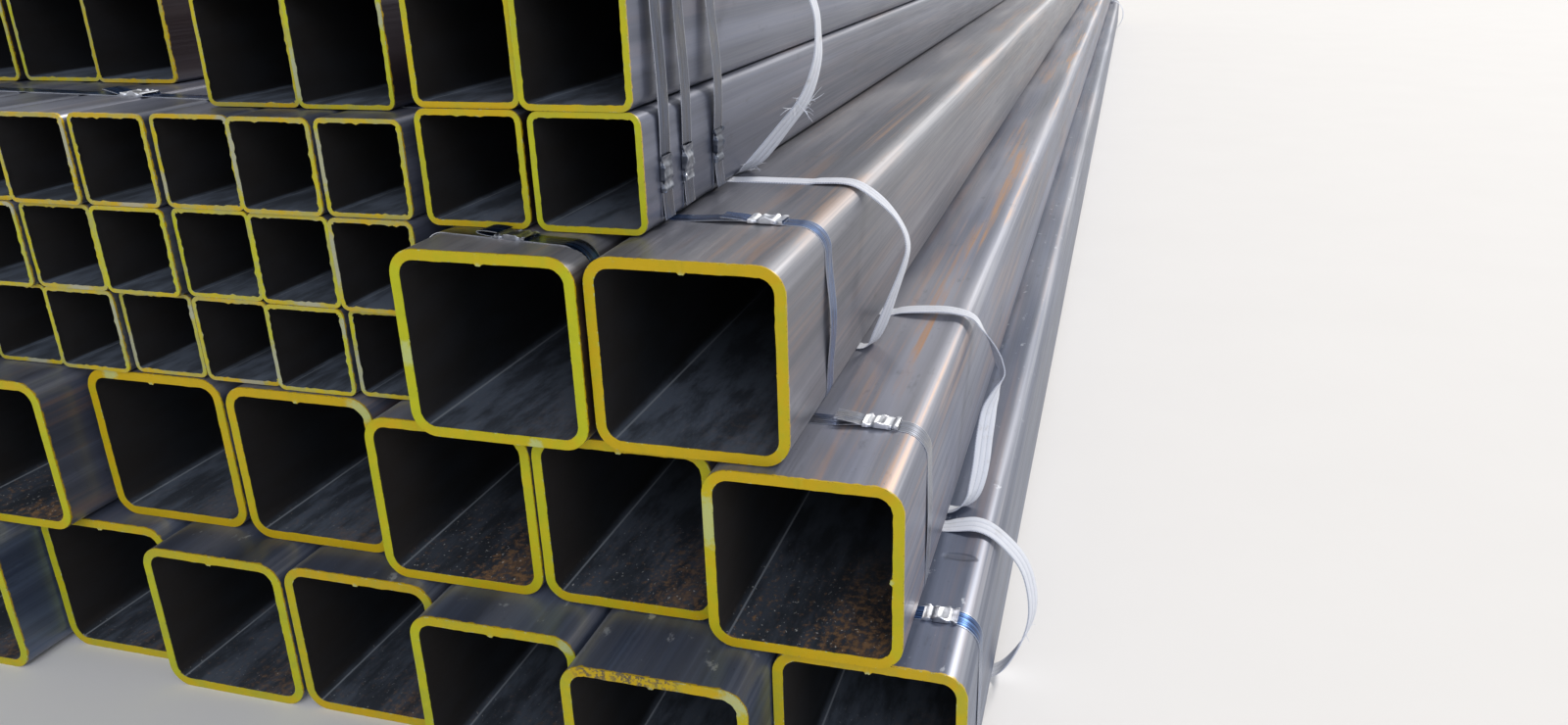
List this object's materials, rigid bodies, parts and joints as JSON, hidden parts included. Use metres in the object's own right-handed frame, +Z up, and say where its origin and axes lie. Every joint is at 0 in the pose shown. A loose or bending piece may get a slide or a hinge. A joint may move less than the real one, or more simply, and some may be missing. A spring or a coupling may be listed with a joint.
{
  "type": "stack of square steel tube bundles",
  "caption": "Yard stack of strapped and slung bundles of square hollow steel tube in long stock lengths, with paint-marked front ends.",
  "frame": {"origin": "middle of the ground under the stack, at the bottom centre of its box", "axes": "+Y along the tubes, away from their painted front ends; +X to the right when facing the painted ends; +Z up"},
  "size_m": [2.0741, 12.481, 1.0561],
  "materials": {
    "large_tube": "hot-rolled mill scale with light rust, yellow paint on the cut ends",
    "light_tube": "blue-grey mill scale, yellow paint on the cut ends",
    "strap": "blued steel strapping",
    "seal": "bright crimped steel",
    "webbing": "white woven polyester webbing, slightly soiled"
  },
  "bodies": {
    "root": {"bottom_sling_back": "webbing", "bottom_sling_front": "webbing", "bottom_strap_back": "strap", "bottom_strap_back_seal": "seal", "bottom_strap_front": "strap", "bottom_strap_front_seal": "seal", "bottom_tube_1": "large_tube", "bottom_tube_2": "large_tube", "bottom_tube_3": "large_tube", "bottom_tube_4": "large_tube", "bottom_tube_5": "large_tube", "bottom_tube_6": "large_tube", "bottom_tube_7": "large_tube", "bottom_tube_8": "large_tube", "middle_sling_back": "webbing", "middle_sling_front": "webbing", "middle_strap_back": "strap", "middle_strap_back_seal": "seal", "middle_strap_front": "strap", "middle_strap_front_seal": "seal", "middle_tube_1": "large_tube", "middle_tube_2": "large_tube", "middle_tube_3": "large_tube", "middle_tube_4": "large_tube", "middle_tube_5": "large_tube", "middle_tube_6": "large_tube", "middle_tube_7": "large_tube", "pair_tubes_row_1": "light_tube", "quad_sling_back": "webbing", "quad_sling_front": "webbing", "quad_strap_back": "strap", "quad_strap_back_seal": "seal", "quad_strap_front_1": "strap", "quad_strap_front_1_seal": "seal", "quad_strap_front_2": "strap", "quad_strap_front_2_seal": "seal", "quad_strap_front_3": "strap", "quad_strap_front_3_seal": "seal", "quad_tubes_row_1": "light_tube", "quad_tubes_row_2": "light_tube", "small_strap_back": "strap", "small_strap_back_seal": "seal", "small_strap_front": "strap", "small_strap_front_seal": "seal", "small_tubes_row_1": "light_tube", "small_tubes_row_2": "light_tube", "small_tubes_row_3": "light_tube", "top_sling_back": "webbing", "top_sling_front": "webbing", "top_strap_back": "strap", "top_strap_back_seal": "seal", "top_strap_front": "strap", "top_strap_front_seal": "seal", "top_tube_1": "large_tube", "top_tube_1_strap": "strap", "top_tube_1_strap_seal": "seal", "top_tube_2": "large_tube", "wide_tubes_row_1": "light_tube"}
  },
  "joints": []
}
